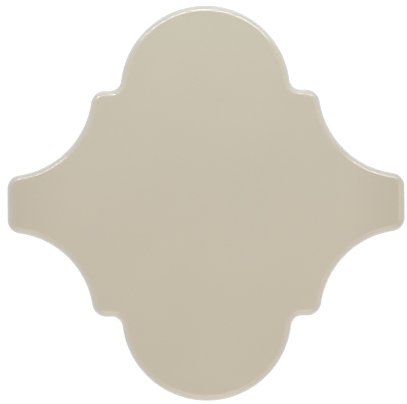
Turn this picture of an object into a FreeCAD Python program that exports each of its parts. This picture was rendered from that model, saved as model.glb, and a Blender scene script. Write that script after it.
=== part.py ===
import FreeCAD, Part
import math
import os
import Sketcher

# Arabesque wall tile, pressed, glazed and fired as one piece. All lengths are millimetres.
# The tile lies on its back: +Z leaves the glazed face, +X runs from tip to tip, +Y from lobe to lobe.
# The origin is the middle of the back.
#
# Tiles like this cover a wall with no other shape between them, because each hollow flank takes the round
# lobe of the next tile. The outline is drawn that way: the flank's arc has its radius and its centre
# from the lobe and a nesting clearance, and the straight runs between the arcs set how wide and how
# tall the tile comes out.

SIZES = [
    ("lobe_radius", "25.6", "round lobe at the top and the bottom"),
    ("nest_clearance", "0.3", "gap between a lobe and the flank of the next tile, laid tip to tip"),
    ("shoulder_flat", "1.6", "straight run of each shoulder, beside a lobe"),
    ("tip_flat", "9.6", "straight run of each blunt tip"),
    ("inner_corner_radius", "3.4", "hollow corner between lobe and shoulder"),
    ("outer_corner_radius", "4.2", "rounded corner of the shoulder"),
    ("tip_corner_radius", "4.0", "rounded corner of the tip"),
    ("thickness", "8.0", "back to glazed face"),
    ("cushion_radius", "2.2", "soft rounded edge of the glazed face"),
    ("back_chamfer", "0.8", "bevel round the back"),
    ("rim_width", "4.5", "flat border of the back, outside the grooves"),
    ("field_corner_radius", "2.0", "rounded corners of the grooved field inside that border"),
    ("groove_depth", "0.8", "depth of the keying grooves"),
    ("rib_width", "3.0", "land of each rib between two grooves"),
    ("rib_pitch", "8.5", "spacing of the ribs"),
    ("mould_draft", "25", "slope of the groove walls, in degrees"),
]

# How a sketch numbers the points of a line or arc, and its origin.
START, END, CENTRE = range(1, 4)
ORIGIN = (-1, 1)

# Room for rounding, in millimetres and as a share of the volume.
FLAT_WITHIN = 1e-6
VOLUME_WITHIN = 1e-6


def add_sizes(document):
    """The sheet of driving dimensions."""
    sheet = document.addObject("Spreadsheet::Sheet", "Sizes")
    for row, (alias, value, meaning) in enumerate(SIZES, start=1):
        sheet.set(f"A{row}", meaning)
        sheet.set(f"B{row}", value)
        sheet.setAlias(f"B{row}", alias)
    document.recompute()
    return sheet


def new_sketch(body, name, role):
    """An empty sketch on one of the body's own origin planes."""
    plane = next(feature for feature in body.Origin.OriginFeatures if feature.Role == role)
    sketch = body.newObject("Sketcher::SketchObject", name)
    sketch.AttachmentSupport = [(plane, "")]
    sketch.MapMode = "FlatFace"
    return sketch


def constrain(sketch, *constraint):
    return sketch.addConstraint(Sketcher.Constraint(*constraint))


def dimension(sketch, name, expression, *constraint):
    """A named dimension that follows the sheet."""
    sketch.renameConstraint(constrain(sketch, *constraint), name)
    sketch.setExpression(f"Constraints.{name}", expression)


def arc(centre, start, end):
    """The arc about a centre that runs anticlockwise from one point to another."""
    first = math.atan2(start.y - centre.y, start.x - centre.x)
    last = math.atan2(end.y - centre.y, end.x - centre.x)
    circle = Part.Circle(centre, FreeCAD.Vector(0, 0, 1), centre.distanceToPoint(start))
    return Part.ArcOfCircle(circle, first, last if last > first else last + 2 * math.pi)


def point(x, y):
    return FreeCAD.Vector(x, y, 0)


def leg(hypotenuse, other_leg):
    """The remaining side of a right-angled triangle."""
    return math.sqrt(hypotenuse ** 2 - other_leg ** 2)


def quarter_outline(body, sizes):
    """One quarter of the outline, closed along the tile's two axes of symmetry.

    The arcs are drawn near their places first, and the constraints then hold them: every
    arc runs tangent into its neighbour, the lobe's centre is level with the shoulder, and the flank's
    centre is one clearance above that level and half a clearance beyond the tip.
    """
    flank_radius = sizes.lobe_radius + sizes.nest_clearance
    flank_level = sizes.tip_flat / 2 + leg(
        flank_radius + sizes.tip_corner_radius, sizes.nest_clearance / 2 + sizes.tip_corner_radius
    )
    level = flank_level - sizes.nest_clearance
    inner_x = leg(sizes.lobe_radius + sizes.inner_corner_radius, sizes.inner_corner_radius)
    outer_x = inner_x + sizes.shoulder_flat
    flank_x = outer_x + leg(
        flank_radius + sizes.outer_corner_radius, sizes.nest_clearance + sizes.outer_corner_radius
    )
    tip_x = flank_x - sizes.nest_clearance / 2

    lobe_centre = point(0, level)
    inner_centre = point(inner_x, level + sizes.inner_corner_radius)
    outer_centre = point(outer_x, level - sizes.outer_corner_radius)
    flank_centre = point(flank_x, flank_level)
    tip_centre = point(tip_x - sizes.tip_corner_radius, sizes.tip_flat / 2)

    def toward(centre, other, radius):
        return centre + (other - centre).normalize() * radius

    crown = point(0, level + sizes.lobe_radius)
    lobe_end = toward(lobe_centre, inner_centre, sizes.lobe_radius)
    shoulder_start = point(inner_x, level)
    shoulder_end = point(outer_x, level)
    flank_start = toward(flank_centre, outer_centre, flank_radius)
    flank_end = toward(flank_centre, tip_centre, flank_radius)
    tip_top = point(tip_x, sizes.tip_flat / 2)
    tip_middle = point(tip_x, 0)
    middle = point(0, 0)

    sketch = new_sketch(body, "quarter_outline", "XY_Plane")
    lobe = sketch.addGeometry(arc(lobe_centre, lobe_end, crown))
    inner = sketch.addGeometry(arc(inner_centre, lobe_end, shoulder_start))
    shoulder = sketch.addGeometry(Part.LineSegment(shoulder_start, shoulder_end))
    outer = sketch.addGeometry(arc(outer_centre, flank_start, shoulder_end))
    flank = sketch.addGeometry(arc(flank_centre, flank_start, flank_end))
    corner = sketch.addGeometry(arc(tip_centre, tip_top, flank_end))
    tip = sketch.addGeometry(Part.LineSegment(tip_top, tip_middle))
    along_x = sketch.addGeometry(Part.LineSegment(tip_middle, middle))
    along_y = sketch.addGeometry(Part.LineSegment(middle, crown))

    constrain(sketch, "Tangent", lobe, START, inner, START)
    constrain(sketch, "Tangent", inner, END, shoulder, START)
    constrain(sketch, "Tangent", shoulder, END, outer, END)
    constrain(sketch, "Tangent", outer, START, flank, START)
    constrain(sketch, "Tangent", flank, END, corner, END)
    constrain(sketch, "Tangent", corner, START, tip, START)
    constrain(sketch, "Coincident", tip, END, along_x, START)
    constrain(sketch, "Coincident", along_x, END, *ORIGIN)
    constrain(sketch, "Coincident", along_y, START, *ORIGIN)
    constrain(sketch, "Coincident", along_y, END, lobe, END)
    constrain(sketch, "Horizontal", along_x)
    constrain(sketch, "Horizontal", shoulder)
    constrain(sketch, "Vertical", along_y)
    constrain(sketch, "Vertical", tip)
    constrain(sketch, "PointOnObject", lobe, CENTRE, along_y)
    constrain(sketch, "PointOnObject", lobe, CENTRE, shoulder)

    dimension(sketch, "lobe", "Sizes.lobe_radius", "Radius", lobe, sizes.lobe_radius)
    dimension(sketch, "flank", "Sizes.lobe_radius + Sizes.nest_clearance", "Radius", flank, flank_radius)
    dimension(sketch, "inner", "Sizes.inner_corner_radius", "Radius", inner, sizes.inner_corner_radius)
    dimension(sketch, "outer", "Sizes.outer_corner_radius", "Radius", outer, sizes.outer_corner_radius)
    dimension(sketch, "corner", "Sizes.tip_corner_radius", "Radius", corner, sizes.tip_corner_radius)
    dimension(sketch, "shoulder", "Sizes.shoulder_flat", "Distance", shoulder, sizes.shoulder_flat)
    dimension(sketch, "half_tip", "Sizes.tip_flat / 2", "Distance", tip, sizes.tip_flat / 2)
    dimension(sketch, "clearance_above", "Sizes.nest_clearance",
              "DistanceY", lobe, CENTRE, flank, CENTRE, sizes.nest_clearance)
    dimension(sketch, "clearance_beyond", "Sizes.nest_clearance / 2",
              "DistanceX", tip, START, flank, CENTRE, sizes.nest_clearance / 2)
    return sketch


def whole_slab(body, sketch):
    """The full outline at full thickness: a quarter, mirrored across both axes."""
    quarter = body.newObject("PartDesign::Pad", "quarter_slab")
    quarter.Profile = sketch
    quarter.setExpression("Length", "Sizes.thickness")
    slab = body.newObject("PartDesign::MultiTransform", "whole_slab")
    slab.Originals = [quarter]
    left_to_right = body.newObject("PartDesign::Mirrored", "left_half")
    left_to_right.MirrorPlane = (sketch, ["V_Axis"])
    top_to_bottom = body.newObject("PartDesign::Mirrored", "lower_half")
    top_to_bottom.MirrorPlane = (sketch, ["H_Axis"])
    slab.Transformations = [left_to_right, top_to_bottom]
    body.Tip = slab
    body.Document.recompute()
    return slab


def lying_at(pieces, kind, height):
    """Names of the edges or faces that lie flat at one height."""
    return [
        f"{kind}{number}"
        for number, piece in enumerate(pieces, start=1)
        if abs(piece.BoundBox.ZMin - height) + abs(piece.BoundBox.ZMax - height) < FLAT_WITHIN
    ]


def edges_at(shape, height):
    return lying_at(shape.Edges, "Edge", height)


def faces_at(shape, height):
    return lying_at(shape.Faces, "Face", height)


def finish_edges(body, slab, sizes):
    """The cushion edge round the glazed face and the bevel round the back."""
    cushion = body.newObject("PartDesign::Fillet", "cushion_edge")
    cushion.Base = (slab, edges_at(slab.Shape, sizes.thickness))
    cushion.setExpression("Radius", "Sizes.cushion_radius")
    body.Tip = cushion
    body.Document.recompute()
    bevel = body.newObject("PartDesign::Chamfer", "back_bevel")
    bevel.Base = (cushion, edges_at(cushion.Shape, 0))
    bevel.setExpression("Size", "Sizes.back_chamfer")
    body.Tip = bevel
    body.Document.recompute()


def rib_section(body, sizes):
    """The section that one rib leaves free in the die.

    The rib's land is in the back's plane, and its walls lean out from there to the root. Below the back
    the section runs straight down through the plate of the die.
    """
    sketch = new_sketch(body, "rib_section", "YZ_Plane")
    half_land = sizes.rib_width / 2
    half_root = half_land + sizes.groove_depth * math.tan(math.radians(sizes.mould_draft))
    corners = [
        point(-half_land, -sizes.groove_depth), point(half_land, -sizes.groove_depth), point(half_land, 0),
        point(half_root, sizes.groove_depth), point(-half_root, sizes.groove_depth), point(-half_land, 0),
    ]
    lines = [
        sketch.addGeometry(Part.LineSegment(corner, corners[(index + 1) % len(corners)]))
        for index, corner in enumerate(corners)
    ]
    for line, following in zip(lines, lines[1:] + lines[:1]):
        constrain(sketch, "Coincident", line, END, following, START)
    bottom, right_side, right_wall, root, left_wall, left_side = lines
    constrain(sketch, "Symmetric", right_side, END, left_side, START, *ORIGIN)
    constrain(sketch, "Equal", right_wall, left_wall)
    constrain(sketch, "Horizontal", root)
    constrain(sketch, "Horizontal", bottom)
    constrain(sketch, "Vertical", right_side)
    constrain(sketch, "Vertical", left_side)
    dimension(sketch, "land", "Sizes.rib_width", "Distance", bottom, sizes.rib_width)
    dimension(sketch, "plate", "Sizes.groove_depth", "Distance", right_side, sizes.groove_depth)
    dimension(sketch, "depth", "Sizes.groove_depth",
              "DistanceY", right_wall, START, right_wall, END, sizes.groove_depth)
    dimension(sketch, "lean", "90 - Sizes.mould_draft",
              "Angle", right_wall, math.radians(90 - sizes.mould_draft))
    return sketch


def keying_grooves(document, slab, sizes):
    """The die that presses the back, as a body to be cut away: a field inside the rim, less its ribs.

    The field is the tile's own outline, drawn in by the rim. It is drawn in further and let out again
    by the radius that its corners get. Half of the die is a plate below the back, and the other half
    stands in the tile. The walls of that half lean, so that the pressed tile leaves the die.
    """
    body = document.addObject("PartDesign::Body", "keying_grooves")
    core = body.newObject("PartDesign::SubShapeBinder", "well_inside_the_rim")
    core.Support = [(slab, tuple(faces_at(slab.Shape, 0)))]
    core.setExpression("Offset", "-Sizes.rim_width - Sizes.field_corner_radius")
    outline = body.newObject("PartDesign::SubShapeBinder", "inside_the_rim")
    outline.Support = [(core, ("",))]
    outline.setExpression("Offset", "Sizes.field_corner_radius")
    document.recompute()
    field = body.newObject("PartDesign::Pad", "field")
    field.Profile = outline
    field.Midplane = True
    field.setExpression("Length", "2 * Sizes.groove_depth")
    document.recompute()
    wall = body.newObject("PartDesign::Chamfer", "field_wall")
    wall.Base = (field, edges_at(field.Shape, sizes.groove_depth))
    wall.ChamferType = "Distance and Angle"
    wall.setExpression("Size", "Sizes.groove_depth")
    wall.setExpression("Angle", "Sizes.mould_draft")
    document.recompute()

    section = rib_section(body, sizes)
    rib = body.newObject("PartDesign::Pocket", "middle_rib")
    rib.Profile = section
    rib.Type = "ThroughAll"
    rib.Midplane = True
    ribs = body.newObject("PartDesign::MultiTransform", "ribs")
    ribs.Originals = [rib]
    row = body.newObject("PartDesign::LinearPattern", "rib_row")
    row.Direction = (section, ["H_Axis"])
    row.Mode = "Spacing"
    row.setExpression("Offset", "Sizes.rib_pitch")
    half_field = field.Shape.optimalBoundingBox(False).YLength / 2
    row.Occurrences = 1 + int((half_field - sizes.rib_width / 2) / sizes.rib_pitch)
    other_half = body.newObject("PartDesign::Mirrored", "ribs_below")
    other_half.MirrorPlane = (section, ["V_Axis"])
    ribs.Transformations = [row, other_half]
    body.Tip = ribs
    document.recompute()
    return body


def press_back(body, grooves):
    """Cuts the keying grooves into the back."""
    keyed = body.newObject("PartDesign::Boolean", "keyed_back")
    keyed.Type = "Cut"
    keyed.setObjects([grooves])
    body.Tip = keyed
    body.Document.recompute()


def check(document, tile, plain, grooves):
    """Stops before anything is written if a feature failed or a cut missed the tile."""
    for item in document.Objects:
        if "Invalid" in item.State or "Error" in item.State:
            raise RuntimeError(f"{item.Label} failed: {item.State}")
    shape = tile.Shape
    if shape.isNull() or not shape.isValid() or len(shape.Solids) != 1:
        raise RuntimeError(f"{tile.Label} is not one valid solid")
    cut_away = plain.common(grooves.Shape).Volume
    if cut_away <= 0 or abs(plain.Volume - cut_away - shape.Volume) > VOLUME_WITHIN * plain.Volume:
        raise RuntimeError("the keying grooves did not cut the back")


def build():
    document = FreeCAD.newDocument("arabesque_tile")
    sizes = add_sizes(document)
    tile = document.addObject("PartDesign::Body", "arabesque_tile")
    outline = quarter_outline(tile, sizes)
    document.recompute()
    slab = whole_slab(tile, outline)
    finish_edges(tile, slab, sizes)
    plain = tile.Shape
    grooves = keying_grooves(document, slab, sizes)
    press_back(tile, grooves)
    check(document, tile, plain, grooves)

    os.makedirs("parts", exist_ok=True)
    tile.Shape.exportStep(f"parts/{tile.Label}.step")
    box = tile.Shape.optimalBoundingBox(False)
    print(f"{tile.Label}: {box.XLength:.2f} x {box.YLength:.2f} x {box.ZLength:.2f} mm,"
          f" {tile.Shape.Volume / 1000:.2f} cm3, {len(tile.Shape.Faces)} faces")


build()
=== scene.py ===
# %% [markdown]
# An arabesque wall tile, seen from straight above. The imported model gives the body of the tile, its size and
# where it lies. This lesson dresses it: a finer mesh with a poured glaze that ends in an uneven line on the
# sides, bare fired clay below it, and a plain studio to look at it in. The model is loaded first, and the box
# around it is kept, because nothing here may reach outside that box.

# %% Load the frame
import math

import bpy
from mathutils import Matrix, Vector


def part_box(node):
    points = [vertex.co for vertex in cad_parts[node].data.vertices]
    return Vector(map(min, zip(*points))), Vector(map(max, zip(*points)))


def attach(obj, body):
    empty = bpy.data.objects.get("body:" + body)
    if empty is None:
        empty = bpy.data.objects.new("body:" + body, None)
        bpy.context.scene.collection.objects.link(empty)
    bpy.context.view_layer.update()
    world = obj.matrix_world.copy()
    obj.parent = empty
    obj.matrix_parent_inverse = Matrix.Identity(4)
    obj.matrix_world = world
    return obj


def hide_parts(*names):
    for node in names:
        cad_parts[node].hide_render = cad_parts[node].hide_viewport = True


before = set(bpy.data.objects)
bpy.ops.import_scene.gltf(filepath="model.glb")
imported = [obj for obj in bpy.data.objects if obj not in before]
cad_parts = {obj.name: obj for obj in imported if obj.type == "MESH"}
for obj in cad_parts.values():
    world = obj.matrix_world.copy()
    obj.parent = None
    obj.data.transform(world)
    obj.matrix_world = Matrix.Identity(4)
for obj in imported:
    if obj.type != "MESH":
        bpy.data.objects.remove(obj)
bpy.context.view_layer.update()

MM = 0.001
_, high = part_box("arabesque_tile")
half_width = high.x
half_height = high.y
thickness = high.z
print(f"frame: {2000 * half_width:.2f} x {2000 * half_height:.2f} x {1000 * thickness:.2f} mm")

# %% [markdown]
# The outline is a chain of tangent arcs. A round lobe runs into a small hollow corner, a short shoulder, a
# rounded corner, a long hollow flank and the corner of a blunt tip. The flank is a lobe plus a joint, so that
# the next tile fits into it. It could be traced point by point, but a chain of arcs needs only radii: every
# centre follows from its neighbour, and the frame gives the width and the height.

# %% Work out the arcs of the outline
LOBE_RADIUS = 25.6 * MM
NEST_CLEARANCE = 0.3 * MM
INNER_CORNER_RADIUS = 3.4 * MM
OUTER_CORNER_RADIUS = 4.2 * MM
TIP_CORNER_RADIUS = 4.0 * MM


def leg(hypotenuse, other_leg):
    """The remaining side of a right-angled triangle."""
    return math.sqrt(hypotenuse ** 2 - other_leg ** 2)


def bearing(start, goal):
    """The angle at which one point sees another."""
    return math.atan2(goal.y - start.y, goal.x - start.x)


flank_radius = LOBE_RADIUS + NEST_CLEARANCE
shoulder_level = half_height - LOBE_RADIUS
lobe_centre = Vector((0, shoulder_level))
flank_centre = Vector((half_width + NEST_CLEARANCE / 2, shoulder_level + NEST_CLEARANCE))
inner_centre = Vector((
    leg(LOBE_RADIUS + INNER_CORNER_RADIUS, INNER_CORNER_RADIUS),
    shoulder_level + INNER_CORNER_RADIUS,
))
outer_centre = Vector((
    flank_centre.x - leg(flank_radius + OUTER_CORNER_RADIUS, NEST_CLEARANCE + OUTER_CORNER_RADIUS),
    shoulder_level - OUTER_CORNER_RADIUS,
))
tip_centre = Vector((
    half_width - TIP_CORNER_RADIUS,
    flank_centre.y - leg(flank_radius + TIP_CORNER_RADIUS, NEST_CLEARANCE / 2 + TIP_CORNER_RADIUS),
))
UP, RIGHT, DOWN = math.radians(90), 0.0, math.radians(-90)
tile_arcs = [
    (lobe_centre, LOBE_RADIUS, UP, bearing(lobe_centre, inner_centre)),
    (inner_centre, INNER_CORNER_RADIUS, bearing(inner_centre, lobe_centre), DOWN),
    (outer_centre, OUTER_CORNER_RADIUS, UP, bearing(outer_centre, flank_centre)),
    (flank_centre, flank_radius, bearing(flank_centre, outer_centre), bearing(flank_centre, tip_centre)),
    (tip_centre, TIP_CORNER_RADIUS, bearing(tip_centre, flank_centre), RIGHT),
]
print(f"shoulder {1000 * (outer_centre.x - inner_centre.x):.2f} mm, tip {2000 * tip_centre.y:.2f} mm")

# %% [markdown]
# With those centres, a quarter of the outline is drawn as by hand. A plane is merged into a single point at
# the crown of the lobe, and the point is spun round one centre after the other. Spin leaves the last point
# selected, so the next arc goes on from there. A positive angle turns clockwise, seen from above, and makes a
# round corner. A negative one makes a hollow. Two mirrors and a fill then give the whole outline as a face.

# %% Draw an outline by spinning a point
STEP = 0.5 * MM
FEWEST_STEPS = 16
MERGE_WITHIN = 0.001 * MM


def edit_alone(piece):
    """Makes a piece the only selected one and opens it in edit mode."""
    bpy.ops.object.select_all(action="DESELECT")
    piece.select_set(True)
    bpy.context.view_layer.objects.active = piece
    bpy.ops.object.mode_set(mode="EDIT")


def apply_modifier(piece, kind, **settings):
    """Adds a modifier with its settings and applies it."""
    bpy.context.view_layer.objects.active = piece
    bpy.ops.object.mode_set(mode="OBJECT")
    modifier = piece.modifiers.new(kind.lower(), kind)
    for name, value in settings.items():
        setattr(modifier, name, value)
    bpy.ops.object.modifier_apply(modifier=modifier.name)


def on_arc(centre, radius, angle, level):
    return Vector((centre.x + radius * math.cos(angle), centre.y + radius * math.sin(angle), level))


def run_straight(start, goal):
    """Extrudes the selected point along a line, in steps like those of the arcs."""
    count = round((goal - start).length / STEP)
    for _ in range(count):
        bpy.ops.mesh.extrude_region_move(TRANSFORM_OT_translate={"value": (goal - start) / count})


def filled_outline(name, arcs, level):
    """A face at one level, whose quarter outline follows (centre, radius, start, end) arcs to the tip."""
    crown = on_arc(*arcs[0][:3], level)
    bpy.ops.object.select_all(action="DESELECT")
    bpy.ops.mesh.primitive_plane_add(size=STEP, location=crown)
    bpy.ops.object.transform_apply(location=True, rotation=False, scale=False)
    piece = bpy.context.active_object
    piece.name = name
    bpy.ops.object.mode_set(mode="EDIT")
    bpy.ops.mesh.select_mode(type="VERT")
    bpy.ops.mesh.merge(type="CENTER")
    end = crown
    for centre, radius, first, last in arcs:
        run_straight(end, on_arc(centre, radius, first, level))
        turn = first - last
        steps = max(FEWEST_STEPS, round(abs(turn) * radius / STEP))
        bpy.ops.mesh.spin(steps=steps, angle=turn, center=(centre.x, centre.y, level), axis=(0, 0, 1))
        end = on_arc(centre, radius, last, level)
    run_straight(end, Vector((end.x, 0, level)))
    apply_modifier(piece, "MIRROR", use_axis=(True, True, False), merge_threshold=MERGE_WITHIN)
    edit_alone(piece)
    bpy.ops.mesh.select_all(action="SELECT")
    bpy.ops.mesh.edge_face_add()
    bpy.ops.object.mode_set(mode="OBJECT")
    return piece


CUSHION_RADIUS = 2.2 * MM
side_top = thickness - CUSHION_RADIUS
tile = filled_outline("glazed_tile", tile_arcs, side_top)
print(f"outline: {len(tile.data.vertices)} points, {len(tile.data.polygons)} face")

# %% [markdown]
# The sides come next. A tile of this kind is pressed from clay powder, and the glaze is poured over its face
# as a thin curtain. It runs over the edge and stops part of the way down, as a rounded lip that stands a
# little proud of the bare clay. So the outline is pushed down to the lip, stepped in by the thickness of the
# glaze, pushed down again to the bevel of the back, and drawn in by that bevel. Inset does the steps, because
# it moves every point of the ring by the same distance, which scaling would not.

# %% Push the sides down past the lip of the glaze
LIP_LEVEL = 2.7 * MM
LIP_ROUND = 0.12 * MM
GLAZE_PROUD = 0.2 * MM
BACK_CHAMFER = 0.8 * MM
GLAZED_RINGS = 6
BARE_RINGS = 4
LEVEL_NORMAL = 0.5  # a face counts as level when its normal rises or falls by more than this


def pick_faces(piece, wanted):
    """Selects the faces that pass a test, and nothing else."""
    bpy.ops.mesh.select_mode(type="FACE")
    bpy.ops.mesh.select_all(action="DESELECT")
    bpy.ops.object.mode_set(mode="OBJECT")
    for face in piece.data.polygons:
        face.select = wanted(face)
    bpy.ops.object.mode_set(mode="EDIT")


def push_down(distance, rings):
    """Extrudes the selected face down in a row of rings."""
    for _ in range(rings):
        bpy.ops.mesh.extrude_region_move(TRANSFORM_OT_translate={"value": (0, 0, -distance / rings)})


edit_alone(tile)
bpy.ops.mesh.select_all(action="SELECT")
push_down(side_top - LIP_LEVEL - LIP_ROUND, GLAZED_RINGS)
bpy.ops.mesh.select_all(action="SELECT")
bpy.ops.mesh.normals_make_consistent(inside=False)
pick_faces(tile, lambda face: face.normal.z < -LEVEL_NORMAL)
bpy.ops.mesh.inset(thickness=LIP_ROUND / 3, depth=LIP_ROUND * 2 / 3, use_even_offset=True)
bpy.ops.mesh.inset(thickness=LIP_ROUND * 2 / 3, depth=LIP_ROUND / 3, use_even_offset=True)
bpy.ops.mesh.inset(thickness=GLAZE_PROUD - LIP_ROUND, depth=0, use_even_offset=True)
push_down(LIP_LEVEL - BACK_CHAMFER, BARE_RINGS)
bpy.ops.mesh.inset(thickness=BACK_CHAMFER - GLAZE_PROUD, depth=BACK_CHAMFER, use_even_offset=True)
bpy.ops.object.mode_set(mode="OBJECT")
lowest = min(point.co.z for point in tile.data.vertices)
print(f"sides: {len(tile.data.polygons)} faces, lowest {1000 * lowest:.3f} mm")

# %% [markdown]
# The edge of the face is a soft roll, where the glaze was drawn round the corner by its own surface tension.
# A bevel would do it in one step, but it would also bevel the lip. A row of insets that rise along a quarter
# circle gives the same roll with rings exactly where they are wanted.

# %% Roll the edge of the face
ROLL_RINGS = 16
FACE_BORDER = 0.6 * MM

edit_alone(tile)
pick_faces(tile, lambda face: face.normal.z > LEVEL_NORMAL)
for ring in range(ROLL_RINGS):
    before = math.radians(90) * ring / ROLL_RINGS
    after = math.radians(90) * (ring + 1) / ROLL_RINGS
    bpy.ops.mesh.inset(
        thickness=CUSHION_RADIUS * (math.cos(before) - math.cos(after)),
        depth=CUSHION_RADIUS * (math.sin(after) - math.sin(before)),
        use_even_offset=True,
    )
bpy.ops.mesh.inset(thickness=FACE_BORDER, depth=0, use_even_offset=True)
bpy.ops.object.mode_set(mode="OBJECT")
highest = max(point.co.z for point in tile.data.vertices)
print(f"roll: {ROLL_RINGS} rings, highest {1000 * highest:.3f} mm")

# %% [markdown]
# The face is still one polygon with hundreds of corners. A fired glaze is never quite flat: it settles in
# long, shallow waves of a few hundredths of a millimetre, which only the reflections show. Cutting the face
# into squares with bisect gives those waves points to move. The rest of the mesh is hidden meanwhile, so that
# the cuts stay on the face.

# %% Cut the face into squares and let it settle
SQUARE = 6.0 * MM
WAVE_LENGTH = 22.0 * MM
WAVE_DEPTH = 0.05 * MM


def cloud(name, size, depth):
    """A soft random texture for a displacement, with its lumps as large as the size given."""
    texture = bpy.data.textures.new(name, "CLOUDS")
    texture.noise_scale = size
    texture.noise_depth = depth
    return texture


def give_weights(piece, name, weight_of):
    """A vertex group that holds what a rule gives for each point."""
    group = piece.vertex_groups.new(name=name)
    for point in piece.data.vertices:
        group.add([point.index], max(0.0, weight_of(point.co)), "REPLACE")
    return group.name


def cut_faces(piece, wanted, cuts):
    """Cuts the faces that pass a test along planes, each given as a place and a normal."""
    edit_alone(piece)
    pick_faces(piece, wanted)
    bpy.ops.mesh.hide(unselected=True)
    for place, normal in cuts:
        bpy.ops.mesh.select_all(action="SELECT")
        bpy.ops.mesh.bisect(plane_co=place, plane_no=normal)
    bpy.ops.mesh.select_all(action="DESELECT")
    bpy.ops.mesh.reveal(select=False)
    bpy.ops.object.mode_set(mode="OBJECT")


def rows_of_cuts(normal, spacing, count):
    """Planes across one direction, at equal spaces, that many each way from the middle."""
    return [(normal * number * spacing, normal) for number in range(-count, count + 1)]


ACROSS_X = Vector((1, 0, 0))
ACROSS_Y = Vector((0, 1, 0))
squares = rows_of_cuts(ACROSS_X, SQUARE, int(half_width / SQUARE))
squares += rows_of_cuts(ACROSS_Y, SQUARE, int(half_height / SQUARE))
cut_faces(tile, lambda face: len(face.vertices) > 4 and face.normal.z > LEVEL_NORMAL, squares)


def on_a_crossing(point):
    """One where two cuts cross on the face, and nothing anywhere else."""
    off_line = max(abs(place / SQUARE - round(place / SQUARE)) * SQUARE for place in point.xy)
    return 1.0 if point.z > thickness - MERGE_WITHIN and off_line < MERGE_WITHIN else 0.0


apply_modifier(
    tile, "DISPLACE", texture=cloud("settled_glaze", WAVE_LENGTH, 1), texture_coords="LOCAL", direction="Z",
    mid_level=1.0, strength=WAVE_DEPTH, vertex_group=give_weights(tile, "face", on_a_crossing),
)
highest = max(point.co.z for point in tile.data.vertices)
print(f"face: {len(tile.data.polygons)} faces in all, highest {1000 * highest:.3f} mm")

# %% [markdown]
# The back of a pressed tile has a flat rim and, inside it, a shallow field of grooves that the adhesive keys
# into. The die that presses them is made here as a block with the outline of the field, and cut into one bar
# for each groove. The field's own outline is the tile's, drawn in by the rim: round arcs get smaller, hollow
# arcs get larger, and where two hollow arcs meet they get a small corner of their own.

# %% Draw the field of the back
RIM_WIDTH = 4.5 * MM
FIELD_CORNER_RADIUS = 2.0 * MM
GROOVE_DEPTH = 0.8 * MM
MOULD_DRAFT = math.radians(25)
drawn_in = RIM_WIDTH + FIELD_CORNER_RADIUS


def crossing_of_circles(centre, radius, other, other_radius):
    """The crossing of two circles that lies on the left, going from the first centre to the other."""
    apart = other - centre
    along = (radius ** 2 - other_radius ** 2 + apart.length_squared) / (2 * apart.length)
    forward = apart.normalized()
    return centre + forward * along + Vector((-forward.y, forward.x)) * leg(radius, along)


field_end = half_width - drawn_in
shoulder_corner = crossing_of_circles(
    flank_centre, flank_radius + drawn_in, inner_centre, INNER_CORNER_RADIUS + drawn_in
)
tip_corner = Vector((field_end, flank_centre.y - leg(flank_radius + drawn_in, flank_centre.x - field_end)))
field_arcs = [
    (lobe_centre, LOBE_RADIUS - RIM_WIDTH, UP, bearing(lobe_centre, inner_centre)),
    (inner_centre, INNER_CORNER_RADIUS + RIM_WIDTH,
     bearing(inner_centre, lobe_centre), bearing(inner_centre, shoulder_corner)),
    (shoulder_corner, FIELD_CORNER_RADIUS,
     bearing(shoulder_corner, inner_centre), bearing(shoulder_corner, flank_centre)),
    (flank_centre, flank_radius + RIM_WIDTH,
     bearing(flank_centre, shoulder_corner), bearing(flank_centre, tip_corner)),
    (tip_corner, FIELD_CORNER_RADIUS, bearing(tip_corner, flank_centre), RIGHT),
]
die = filled_outline("die_block", field_arcs, -GROOVE_DEPTH)
edit_alone(die)
bpy.ops.mesh.select_all(action="SELECT")
bpy.ops.mesh.extrude_region_move(TRANSFORM_OT_translate={"value": (0, 0, GROOVE_DEPTH)})
bpy.ops.mesh.select_all(action="SELECT")
bpy.ops.mesh.normals_make_consistent(inside=False)
pick_faces(die, lambda face: face.normal.z > LEVEL_NORMAL)
bpy.ops.mesh.inset(thickness=GROOVE_DEPTH * math.tan(MOULD_DRAFT), depth=GROOVE_DEPTH, use_even_offset=True)
bpy.ops.object.mode_set(mode="OBJECT")
print(f"field: {len(die.data.polygons)} faces,"
      f" corner at {1000 * shoulder_corner.x:.2f}, {1000 * shoulder_corner.y:.2f} mm")

# %% [markdown]
# Each bar of the die is what is left of the block between two slanted cuts. The cuts lean by the mould's
# draft, because a pressed tile has to leave its die. A boolean difference then presses all the bars into the
# back at once, as the real die does. The back is cut along the middle of each rib first: a single face with
# fourteen holes in it would be too hard to fill, and a strip with half a groove in it is not.

# %% Cut the die into bars and press the back
RIB_WIDTH = 3.0 * MM
RIB_PITCH = 8.5 * MM
WELD_WITHIN = 0.01 * MM


def bar_of(block, start, end):
    """A copy of the block, cut down to one bar between two places on Y."""
    edit_alone(block)
    bpy.ops.object.mode_set(mode="OBJECT")
    bpy.ops.object.duplicate()
    bar = bpy.context.active_object
    bpy.ops.object.mode_set(mode="EDIT")
    for place, inward in ((start, 1), (end, -1)):
        bpy.ops.mesh.select_all(action="SELECT")
        bpy.ops.mesh.bisect(
            plane_co=(0, place, 0), plane_no=(0, inward * math.cos(MOULD_DRAFT), -math.sin(MOULD_DRAFT)),
            use_fill=True, clear_inner=True,
        )
    bpy.ops.object.mode_set(mode="OBJECT")
    return bar


def weld(piece):
    """Joins points that lie together, and takes out faces and edges without a size."""
    edit_alone(piece)
    bpy.ops.mesh.select_all(action="SELECT")
    bpy.ops.mesh.remove_doubles(threshold=WELD_WITHIN)
    bpy.ops.mesh.dissolve_degenerate(threshold=WELD_WITHIN)
    bpy.ops.object.mode_set(mode="OBJECT")


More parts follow.
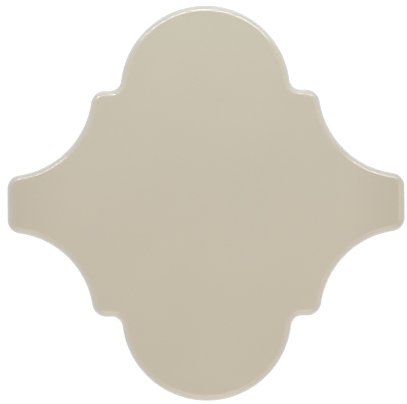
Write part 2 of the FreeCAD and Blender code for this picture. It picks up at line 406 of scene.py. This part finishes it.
field_reach = lobe_centre.y + LOBE_RADIUS - RIM_WIDTH
ribs_each_way = int((field_reach - RIB_WIDTH / 2) / RIB_PITCH)
first_groove = -ribs_each_way - 1
bars = [
    bar_of(die, number * RIB_PITCH + RIB_WIDTH / 2, (number + 1) * RIB_PITCH - RIB_WIDTH / 2)
    for number in range(first_groove, -first_groove)
]
bpy.data.objects.remove(die)
for bar in bars:
    bar.select_set(True)
bpy.context.view_layer.objects.active = bars[0]
bpy.ops.object.join()
strips = rows_of_cuts(ACROSS_Y, RIB_PITCH, ribs_each_way) + rows_of_cuts(ACROSS_X, 0, 0)
cut_faces(tile, lambda face: face.center.z < MERGE_WITHIN, strips)
apply_modifier(tile, "BOOLEAN", operation="DIFFERENCE", solver="EXACT", object=bars[0])
weld(tile)
bpy.data.objects.remove(bars[0])
print(f"back: {len(bars)} grooves, {len(tile.data.polygons)} faces in all")

# %% [markdown]
# Nothing that leaves a press is knife-sharp. The lands of the ribs and the foot of the bevel get a small
# round. The edges are found by how sharply their faces meet, and then only those in the plane of the back are
# kept. Where three such edges meet, the bevel leaves a few points a hair below the back, so those are scaled
# flat into its plane.

# %% Soften the pressed edges of the back
SHARP = math.radians(20)
PRESSED_ROUND = 0.15 * MM

edit_alone(tile)
bpy.ops.mesh.select_mode(type="EDGE")
bpy.ops.mesh.select_all(action="DESELECT")
bpy.ops.mesh.edges_select_sharp(sharpness=SHARP)
bpy.ops.object.mode_set(mode="OBJECT")
points = tile.data.vertices
for edge in tile.data.edges:
    edge.select = edge.select and all(abs(points[end].co.z) < MERGE_WITHIN for end in edge.vertices)
softened = sum(edge.select for edge in tile.data.edges)
bpy.ops.object.mode_set(mode="EDIT")
bpy.ops.mesh.bevel(offset=PRESSED_ROUND, segments=2, affect="EDGES")
bpy.ops.mesh.select_mode(type="VERT")
bpy.ops.mesh.select_all(action="DESELECT")
bpy.ops.object.mode_set(mode="OBJECT")
for point in tile.data.vertices:
    point.select = point.co.z < 0
bpy.ops.object.mode_set(mode="EDIT")
bpy.ops.transform.resize(value=(1, 1, 0), center_override=(0, 0, 0))
bpy.ops.object.mode_set(mode="OBJECT")
weld(tile)
print(f"softened {softened} edges, {len(tile.data.polygons)} faces in all")

# %% [markdown]
# The two finishes need their own faces. Everything from the lip of the glaze upwards is glazed, and the rest
# is bare clay. The faces are given out now, while the lip is still level. Then the lip is let run: a cloud
# texture moves it up and down, with the full effect at the lip and none at the roll or the bevel.

# %% Give out the finishes and let the lip of the glaze run
RUN_LENGTH = 5.0 * MM
RUN_DEPTH = 1.3 * MM
glaze = bpy.data.materials.new("poured_glossy_beige_glaze")
bisque = bpy.data.materials.new("pressed_white_earthenware_bisque")
for finish in (glaze, bisque):
    tile.data.materials.append(finish)
edit_alone(tile)
pick_faces(tile, lambda face: face.center.z < LIP_LEVEL - MERGE_WITHIN)
tile.active_material_index = 1
bpy.ops.object.material_slot_assign()
bpy.ops.object.mode_set(mode="OBJECT")


def nearness_to_lip(point):
    """One at the lip, falling to nothing at the roll above it and at the bevel below it."""
    if point.z > LIP_LEVEL + LIP_ROUND:
        return (side_top - point.z) / (side_top - LIP_LEVEL - LIP_ROUND)
    if point.z < LIP_LEVEL:
        return (point.z - BACK_CHAMFER) / (LIP_LEVEL - BACK_CHAMFER)
    return 1.0


apply_modifier(
    tile, "DISPLACE", texture=cloud("glaze_runs", RUN_LENGTH, 2), texture_coords="LOCAL", direction="Z",
    mid_level=0.5, strength=RUN_DEPTH, vertex_group=give_weights(tile, "lip", nearness_to_lip),
)
bare = sum(face.material_index for face in tile.data.polygons)
print(f"finishes: {len(tile.data.polygons) - bare} glazed faces, {bare} bare faces")

# %% [markdown]
# Smooth shading by angle keeps the roll and the arcs smooth and the corners of the grooves crisp. The tile
# then takes its place on the frame: it rides on the one body and stands in for the model's own node, which is
# hidden.

# %% Shade the tile and tie it to the frame
SMOOTH_BELOW = math.radians(35)

edit_alone(tile)
bpy.ops.mesh.select_all(action="SELECT")
bpy.ops.mesh.normals_make_consistent(inside=False)
bpy.ops.object.mode_set(mode="OBJECT")
bpy.ops.object.shade_smooth_by_angle(angle=SMOOTH_BELOW)
tile.vertex_groups.clear()
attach(tile, "root")
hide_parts("arabesque_tile")
print(f"tile: {sum(len(face.vertices) - 2 for face in tile.data.polygons)} triangles")

# %% [markdown]
# Two small helpers serve every material. Colours are written as the hex values that a paint picker shows, and
# one function turns them to the linear values that the renderer works in. The other adds a node with its
# settings, and links any socket that it is given instead of a value.

# %% Helpers for materials


def linear(code):
    """A hex colour such as C6BDAB as linear red, green, blue and alpha."""
    shares = [int(code[start:start + 2], 16) / 255 for start in (0, 2, 4)]
    colour = [
        ((share + 0.055) / 1.055) ** 2.4 if share > 0.04045 else share / 12.92
        for share in shares
    ]
    return (*colour, 1.0)


def add_node(tree, kind, sockets, **settings):
    """Adds a node, makes its settings, and fills its sockets with values or links."""
    node = tree.nodes.new(kind)
    for name, value in settings.items():
        setattr(node, name, value)
    inputs = {socket.identifier: socket for socket in node.inputs}
    for name, value in sockets.items():
        if isinstance(value, bpy.types.NodeSocket):
            tree.links.new(value, inputs[name])
        else:
            inputs[name].default_value = value
    return node


def fresh_tree(owner):
    """The empty node tree of a material or a world."""
    owner.use_nodes = True
    owner.node_tree.nodes.clear()
    return owner.node_tree


print("white is", [round(share, 3) for share in linear("FFFFFF")])

# %% [markdown]
# The glaze is a lead-free tile glaze, poured on and fired: a coat of coloured glass about a fifth of a
# millimetre thick. To the eye that gives a very even beige with a clear, slightly soft reflection. The colour
# drifts a little where the coat is thicker, and is a shade deeper on the narrow tips, where the pour ran
# together. Round the roll of the edge it pales, partly where the melt drew thin and partly as a painted sheen,
# a bluish white that stands in for the reflection there, and it returns to beige on the sides below. Close up
# there are a few faint iron specks. The paling follows from how far round the roll a point lies, so it reads
# the height.

# %% Make the glaze
DRIFT_SIZE = 28 * MM
RIPPLE_SIZE = 7 * MM
RIPPLE_HEIGHT = 0.004 * MM
SPECK_SPACING = 3.0 * MM
SPECK_RADIUS = 0.16 * MM
SPECKED_SHARE = 0.3
SPECK_STRENGTH = 0.25
TIP_START = 40 * MM
PALEST = 0.5
PALE_RUN = 1.2 * MM
# heights on the roll, as shares of its radius: where the paling starts, is full, and starts to fade again
PALE_FROM, PALE_FULL, PALE_UNTIL = 0.97, 0.45, 0.3
SMOOTHEST, ROUGHEST = 0.05, 0.08

tree = fresh_tree(glaze)
place = add_node(tree, "ShaderNodeTexCoord", {})
drift = add_node(tree, "ShaderNodeTexNoise", {
    "Vector": place.outputs["Object"], "Scale": 1 / DRIFT_SIZE, "Detail": 2,
})
drift_colour = add_node(tree, "ShaderNodeMix", {
    "Factor_Float": drift.outputs["Fac"], "A_Color": linear("C3B8A6"), "B_Color": linear("C8BDAB"),
}, data_type="RGBA")
axes = add_node(tree, "ShaderNodeSeparateXYZ", {"Vector": place.outputs["Object"]})
from_middle = add_node(tree, "ShaderNodeMath", {"Value": axes.outputs["X"]}, operation="ABSOLUTE")
on_tip = add_node(tree, "ShaderNodeMapRange", {
    "Value": from_middle.outputs["Value"], "From Min": TIP_START, "From Max": half_width,
}, interpolation_type="SMOOTHSTEP")
deepened = add_node(tree, "ShaderNodeMix", {
    "Factor_Float": on_tip.outputs["Result"],
    "A_Color": drift_colour.outputs["Result"], "B_Color": linear("C0B5A3"),
}, data_type="RGBA")
# Paler towards the roll of the edge: partly thin glaze, partly a painted sheen in a bluish white that stands
# in for the roll's reflection.
down_the_roll = add_node(tree, "ShaderNodeMapRange", {
    "Value": axes.outputs["Z"], "To Min": 0.0, "To Max": PALEST,
    "From Min": side_top + PALE_FROM * CUSHION_RADIUS, "From Max": side_top + PALE_FULL * CUSHION_RADIUS,
}, interpolation_type="SMOOTHSTEP")
above_the_side = add_node(tree, "ShaderNodeMapRange", {
    "Value": axes.outputs["Z"],
    "From Min": side_top - PALE_RUN, "From Max": side_top + PALE_UNTIL * CUSHION_RADIUS,
}, interpolation_type="SMOOTHSTEP")
thin_glaze_and_sheen = add_node(tree, "ShaderNodeMath", {
    "Value": down_the_roll.outputs["Result"], "Value_001": above_the_side.outputs["Result"],
}, operation="MULTIPLY")
# painted sheen: the roll is mixed towards a pale bluish white, for thin glaze and for the reflection a roll
# shows
paled_with_painted_sheen = add_node(tree, "ShaderNodeMix", {
    "Factor_Float": thin_glaze_and_sheen.outputs["Value"],
    "A_Color": deepened.outputs["Result"], "B_Color": linear("D2D5D6"),
}, data_type="RGBA")
cells = add_node(tree, "ShaderNodeTexVoronoi", {
    "Vector": place.outputs["Object"], "Scale": 1 / SPECK_SPACING,
})
speck = add_node(tree, "ShaderNodeMapRange", {
    "Value": cells.outputs["Distance"],
    "From Min": SPECK_RADIUS / SPECK_SPACING, "From Max": SPECK_RADIUS / SPECK_SPACING / 2,
})
pick_cell = add_node(tree, "ShaderNodeSeparateColor", {"Color": cells.outputs["Color"]})
has_speck = add_node(tree, "ShaderNodeMath", {
    "Value": pick_cell.outputs["Red"], "Value_001": SPECKED_SHARE,
}, operation="LESS_THAN")
chosen_speck = add_node(tree, "ShaderNodeMath", {
    "Value": speck.outputs["Result"], "Value_001": has_speck.outputs["Value"],
}, operation="MULTIPLY")
faint_speck = add_node(tree, "ShaderNodeMath", {
    "Value": chosen_speck.outputs["Value"], "Value_001": SPECK_STRENGTH,
}, operation="MULTIPLY")
colour = add_node(tree, "ShaderNodeMix", {
    "Factor_Float": faint_speck.outputs["Value"],
    "A_Color": paled_with_painted_sheen.outputs["Result"], "B_Color": linear("9C9079"),
}, data_type="RGBA")
ripple = add_node(tree, "ShaderNodeTexNoise", {
    "Vector": place.outputs["Object"], "Scale": 1 / RIPPLE_SIZE, "Detail": 1,
})
relief = add_node(tree, "ShaderNodeBump", {
    "Strength": 1.0, "Distance": RIPPLE_HEIGHT, "Height": ripple.outputs["Fac"],
})
gloss = add_node(tree, "ShaderNodeMapRange", {
    "Value": drift.outputs["Fac"], "To Min": SMOOTHEST, "To Max": ROUGHEST,
})
shader = add_node(tree, "ShaderNodeBsdfPrincipled", {
    "Base Color": colour.outputs["Result"], "Roughness": gloss.outputs["Result"],
    "IOR": 1.55, "Normal": relief.outputs["Normal"],
})
add_node(tree, "ShaderNodeOutputMaterial", {"Surface": shader.outputs["BSDF"]})
print(f"glaze: {len(tree.nodes)} nodes")

# %% [markdown]
# The bare clay is white earthenware, pressed dry and fired once. It is matte and a little chalky, a warm
# off-white with grains of about half a millimetre and pores between them. The lands of the ribs slid over the
# rollers of the kiln, so they carry streaks of white kiln wash along the ribs.

# %% Make the bare clay
GRAIN_SIZE = 0.5 * MM
GRAIN_HEIGHT = 0.03 * MM
BLOTCH_SIZE = 14 * MM
PORE_SPACING = 1.4 * MM
PORE_FLOOR, PORE_EDGE = 0.05, 0.16  # radii, as shares of the spacing
STREAK_LENGTH = 9 * MM
STREAK_WIDTH = 2.2 * MM
WASH_TOP = 0.25 * MM
WASH_FULL = 0.05 * MM

tree = fresh_tree(bisque)
place = add_node(tree, "ShaderNodeTexCoord", {})
grain = add_node(tree, "ShaderNodeTexNoise", {
    "Vector": place.outputs["Object"], "Scale": 1 / GRAIN_SIZE, "Detail": 3,
})
blotch = add_node(tree, "ShaderNodeTexNoise", {
    "Vector": place.outputs["Object"], "Scale": 1 / BLOTCH_SIZE, "Detail": 4,
})
clay = add_node(tree, "ShaderNodeMix", {
    "Factor_Float": blotch.outputs["Fac"], "A_Color": linear("DCD0BC"), "B_Color": linear("EAE2D4"),
}, data_type="RGBA")
grained = add_node(tree, "ShaderNodeMix", {
    "Factor_Float": grain.outputs["Fac"], "A_Color": clay.outputs["Result"], "B_Color": linear("DDD2BF"),
}, data_type="RGBA", blend_type="MULTIPLY")
along_ribs = add_node(tree, "ShaderNodeMapping", {
    "Vector": place.outputs["Object"], "Scale": (1 / STREAK_LENGTH, 1 / STREAK_WIDTH, 1 / STREAK_WIDTH),
})
streak = add_node(tree, "ShaderNodeTexNoise", {
    "Vector": along_ribs.outputs["Vector"], "Scale": 1.0, "Detail": 3,
})
height = add_node(tree, "ShaderNodeSeparateXYZ", {"Vector": place.outputs["Object"]})
on_land = add_node(tree, "ShaderNodeMapRange", {
    "Value": height.outputs["Z"], "From Min": WASH_TOP, "From Max": WASH_FULL,
})
wash = add_node(tree, "ShaderNodeMath", {
    "Value": on_land.outputs["Result"], "Value_001": streak.outputs["Fac"],
}, operation="MULTIPLY")
colour = add_node(tree, "ShaderNodeMix", {
    "Factor_Float": wash.outputs["Value"],
    "A_Color": grained.outputs["Result"], "B_Color": linear("F4F1EA"),
}, data_type="RGBA")
pores = add_node(tree, "ShaderNodeTexVoronoi", {
    "Vector": place.outputs["Object"], "Scale": 1 / PORE_SPACING,
})
pore = add_node(tree, "ShaderNodeMapRange", {
    "Value": pores.outputs["Distance"], "From Min": PORE_FLOOR, "From Max": PORE_EDGE,
})
texture = add_node(tree, "ShaderNodeMath", {
    "Value": grain.outputs["Fac"], "Value_001": pore.outputs["Result"],
}, operation="ADD")
relief = add_node(tree, "ShaderNodeBump", {
    "Strength": 1.0, "Distance": GRAIN_HEIGHT, "Height": texture.outputs["Value"],
})
shader = add_node(tree, "ShaderNodeBsdfPrincipled", {
    "Base Color": colour.outputs["Result"], "Roughness": 0.85,
    "IOR": 1.5, "Normal": relief.outputs["Normal"],
})
add_node(tree, "ShaderNodeOutputMaterial", {"Surface": shader.outputs["BSDF"]})
print(f"bare clay: {len(tree.nodes)} nodes")

# %% [markdown]
# The tile lies on a sheet of white studio paper. The paper's own colour takes the light and the tile's soft
# shadow, and a share of plain white is added for the camera and for reflections, so that the paper comes out
# white without more light on the tile.

# %% Lay the studio paper
PAPER_SIZE = 8.0
PAPER_GLOW = 0.80

bpy.ops.object.select_all(action="DESELECT")
bpy.ops.mesh.primitive_plane_add(size=PAPER_SIZE, location=(0, 0, 0))
paper = bpy.context.active_object
paper.name = "studio_paper"
matte_paper = bpy.data.materials.new("matte_white_paper")
paper.data.materials.append(matte_paper)
tree = fresh_tree(matte_paper)
path = add_node(tree, "ShaderNodeLightPath", {})
seen = add_node(tree, "ShaderNodeMath", {
    "Value": path.outputs["Is Camera Ray"], "Value_001": path.outputs["Is Glossy Ray"],
}, operation="ADD")
shown = add_node(tree, "ShaderNodeMath", {
    "Value": seen.outputs["Value"], "Value_001": path.outputs["Is Transmission Ray"],
}, operation="ADD", use_clamp=True)
glow = add_node(tree, "ShaderNodeMath", {
    "Value": shown.outputs["Value"], "Value_001": PAPER_GLOW,
}, operation="MULTIPLY")
shader = add_node(tree, "ShaderNodeBsdfPrincipled", {
    "Base Color": linear("90908E"), "Roughness": 0.95,
    "Emission Color": linear("FFFFFF"), "Emission Strength": glow.outputs["Value"],
})
add_node(tree, "ShaderNodeOutputMaterial", {"Surface": shader.outputs["BSDF"]})
print(f"paper: {PAPER_SIZE} m square")

# %% [markdown]
# The light is a white studio with a dark ceiling, where the camera hangs. Its walls are the world: white all
# round up to half-way, and from there darker towards the ceiling, with a few brighter panels that the roll of
# the edge picks out. The panels could be lamps, but as soft spots on the world they light the tile without
# hard edges, and each needs only a direction and a width.

# %% Light the studio with white walls
CEILING = 0.12
WALLS = 1.045
WALL_TOP = math.radians(45)
PANELS = [
    # lean from overhead, compass angle from +X, half-angles of its core and of its soft edge, added light
    (38, 270, 6, 28, (0.95, 1.12, 1.10)),
    (76, 270, 8, 36, (0.68, 0.71, 0.84)),
    (75, 90, 8, 30, (1.28, 1.14, 1.26)),
    (50, 0, 6, 34, (0.30, 0.14, 0.06)),
]

world = bpy.data.worlds.new("white_studio")
bpy.context.scene.world = world
tree = fresh_tree(world)
look = add_node(tree, "ShaderNodeTexCoord", {}).outputs["Generated"]
rise = add_node(tree, "ShaderNodeSeparateXYZ", {"Vector": look})
walls = add_node(tree, "ShaderNodeMapRange", {
    "Value": rise.outputs["Z"], "From Min": math.cos(WALL_TOP), "From Max": 1.0,
    "To Min": WALLS, "To Max": CEILING,
}, interpolation_type="SMOOTHSTEP")
light = add_node(tree, "ShaderNodeCombineColor", {
    name: walls.outputs["Result"] for name in ("Red", "Green", "Blue")
}).outputs["Color"]
for lean, compass, core, edge, added in PANELS:
    lean, compass = math.radians(lean), math.radians(compass)
    aim = (math.sin(lean) * math.cos(compass), math.sin(lean) * math.sin(compass), math.cos(lean))
    facing = add_node(tree, "ShaderNodeVectorMath", {
        "Vector": look, "Vector_001": aim,
    }, operation="DOT_PRODUCT")
    panel = add_node(tree, "ShaderNodeMapRange", {
        "Value": facing.outputs["Value"],
        "From Min": math.cos(math.radians(edge)), "From Max": math.cos(math.radians(core)),
    }, interpolation_type="SMOOTHSTEP")
    light = add_node(tree, "ShaderNodeMix", {
        "Factor_Float": panel.outputs["Result"], "A_Color": light, "B_Color": (*added, 1.0),
    }, data_type="RGBA", blend_type="ADD").outputs["Result"]
background = add_node(tree, "ShaderNodeBackground", {"Color": light, "Strength": 1.0})
add_node(tree, "ShaderNodeOutputWorld", {"Surface": background.outputs["Background"]})
print(f"walls: {len(PANELS)} soft panels")

# %% [markdown]
# Two bar lamps stand beyond the upper edge of the picture and lean towards it. The far one is there for its
# reflection, which draws a thin bright line on every edge that faces it. A lamp bright enough for that line
# would light the face too unevenly, so this one shows in reflections only. Seen from the front, the face
# mirrors it as a white stripe. A wider bar would whiten half of the face, so this one is thin. The near lamp
# is dimmer and cooler. It lights the upper part of the face a little more than the lower, and shows in no
# reflection. A small warm card, beyond the right tip, gives the end of that tip its softer gleam.

# %% Add the lamps


def add_lamp(name, radiance, colour, place, aim, long, high):
    """A flat lamp that faces a point of the tile and that the camera doesn't see."""
    light = bpy.data.lights.new(name, "AREA")
    light.shape = "RECTANGLE"
    light.size = long
    light.size_y = high
    light.color = colour
    light.energy = radiance * math.pi * long * high
    lamp = bpy.data.objects.new(name, light)
    bpy.context.scene.collection.objects.link(lamp)
    lamp.location = place
    lamp.rotation_euler = (aim - place).to_track_quat("-Z", "Y").to_euler()
    lamp.visible_camera = False
    print(f"{name}: {light.energy:.2f} W")
    return lamp


crown = Vector((0, half_height, thickness))
right_tip = Vector((half_width, 0, thickness))
gleam_bar = add_lamp(
    "gleam_bar", radiance=42.0, colour=(1.0, 0.97, 0.92),
    place=Vector((0, 0.250, 0.183)), aim=crown, long=0.520, high=14 * MM,
)
gleam_bar.visible_diffuse = False
fill_bar = add_lamp(
    "fill_bar", radiance=2.7, colour=(0.56, 0.91, 1.0),
    place=Vector((0, 0.148, 0.093)), aim=crown, long=0.300, high=32 * MM,
)
fill_bar.visible_glossy = False
warm_card = add_lamp(
    "warm_card", radiance=1.0, colour=(1.0, 0.80, 0.62),
    place=Vector((0.135, 0, 0.105)), aim=right_tip, long=60 * MM, high=110 * MM,
)
warm_card.visible_diffuse = False

# %% [markdown]
# The camera looks straight down through a long lens, so that the tile shows its face and the roll of its edge
# and none of its sides. The tile lies a little off the middle of the picture and is turned by a third of a
# degree, as in the photograph.

# %% Set the camera
PICTURE_WIDTH_PX = 407
PICTURE_HEIGHT_PX = 404
TILE_MIDDLE_PX = (206.05, 203.20)
TILE_WIDTH_PX = 396.9
TILE_TURN = 0.0066
CAMERA_HEIGHT = 0.95
SENSOR = 36.0

metres_per_pixel = 2 * half_width / TILE_WIDTH_PX
camera_lens = bpy.data.cameras.new("overhead_camera")
camera_lens.sensor_width = SENSOR
camera_lens.lens = SENSOR * CAMERA_HEIGHT / (PICTURE_WIDTH_PX * metres_per_pixel)
camera_lens.clip_end = 20
camera = bpy.data.objects.new("overhead_camera", camera_lens)
bpy.context.scene.collection.objects.link(camera)
camera.location = (
    (PICTURE_WIDTH_PX / 2 - TILE_MIDDLE_PX[0]) * metres_per_pixel,
    (TILE_MIDDLE_PX[1] - PICTURE_HEIGHT_PX / 2) * metres_per_pixel,
    side_top + CAMERA_HEIGHT,
)
camera.rotation_euler = (0, 0, -TILE_TURN)
bpy.context.scene.camera = camera
bpy.context.scene.view_settings.view_transform = "Standard"
print(f"camera: {camera_lens.lens:.0f} mm lens, {1000 * CAMERA_HEIGHT:.0f} mm above the edge")
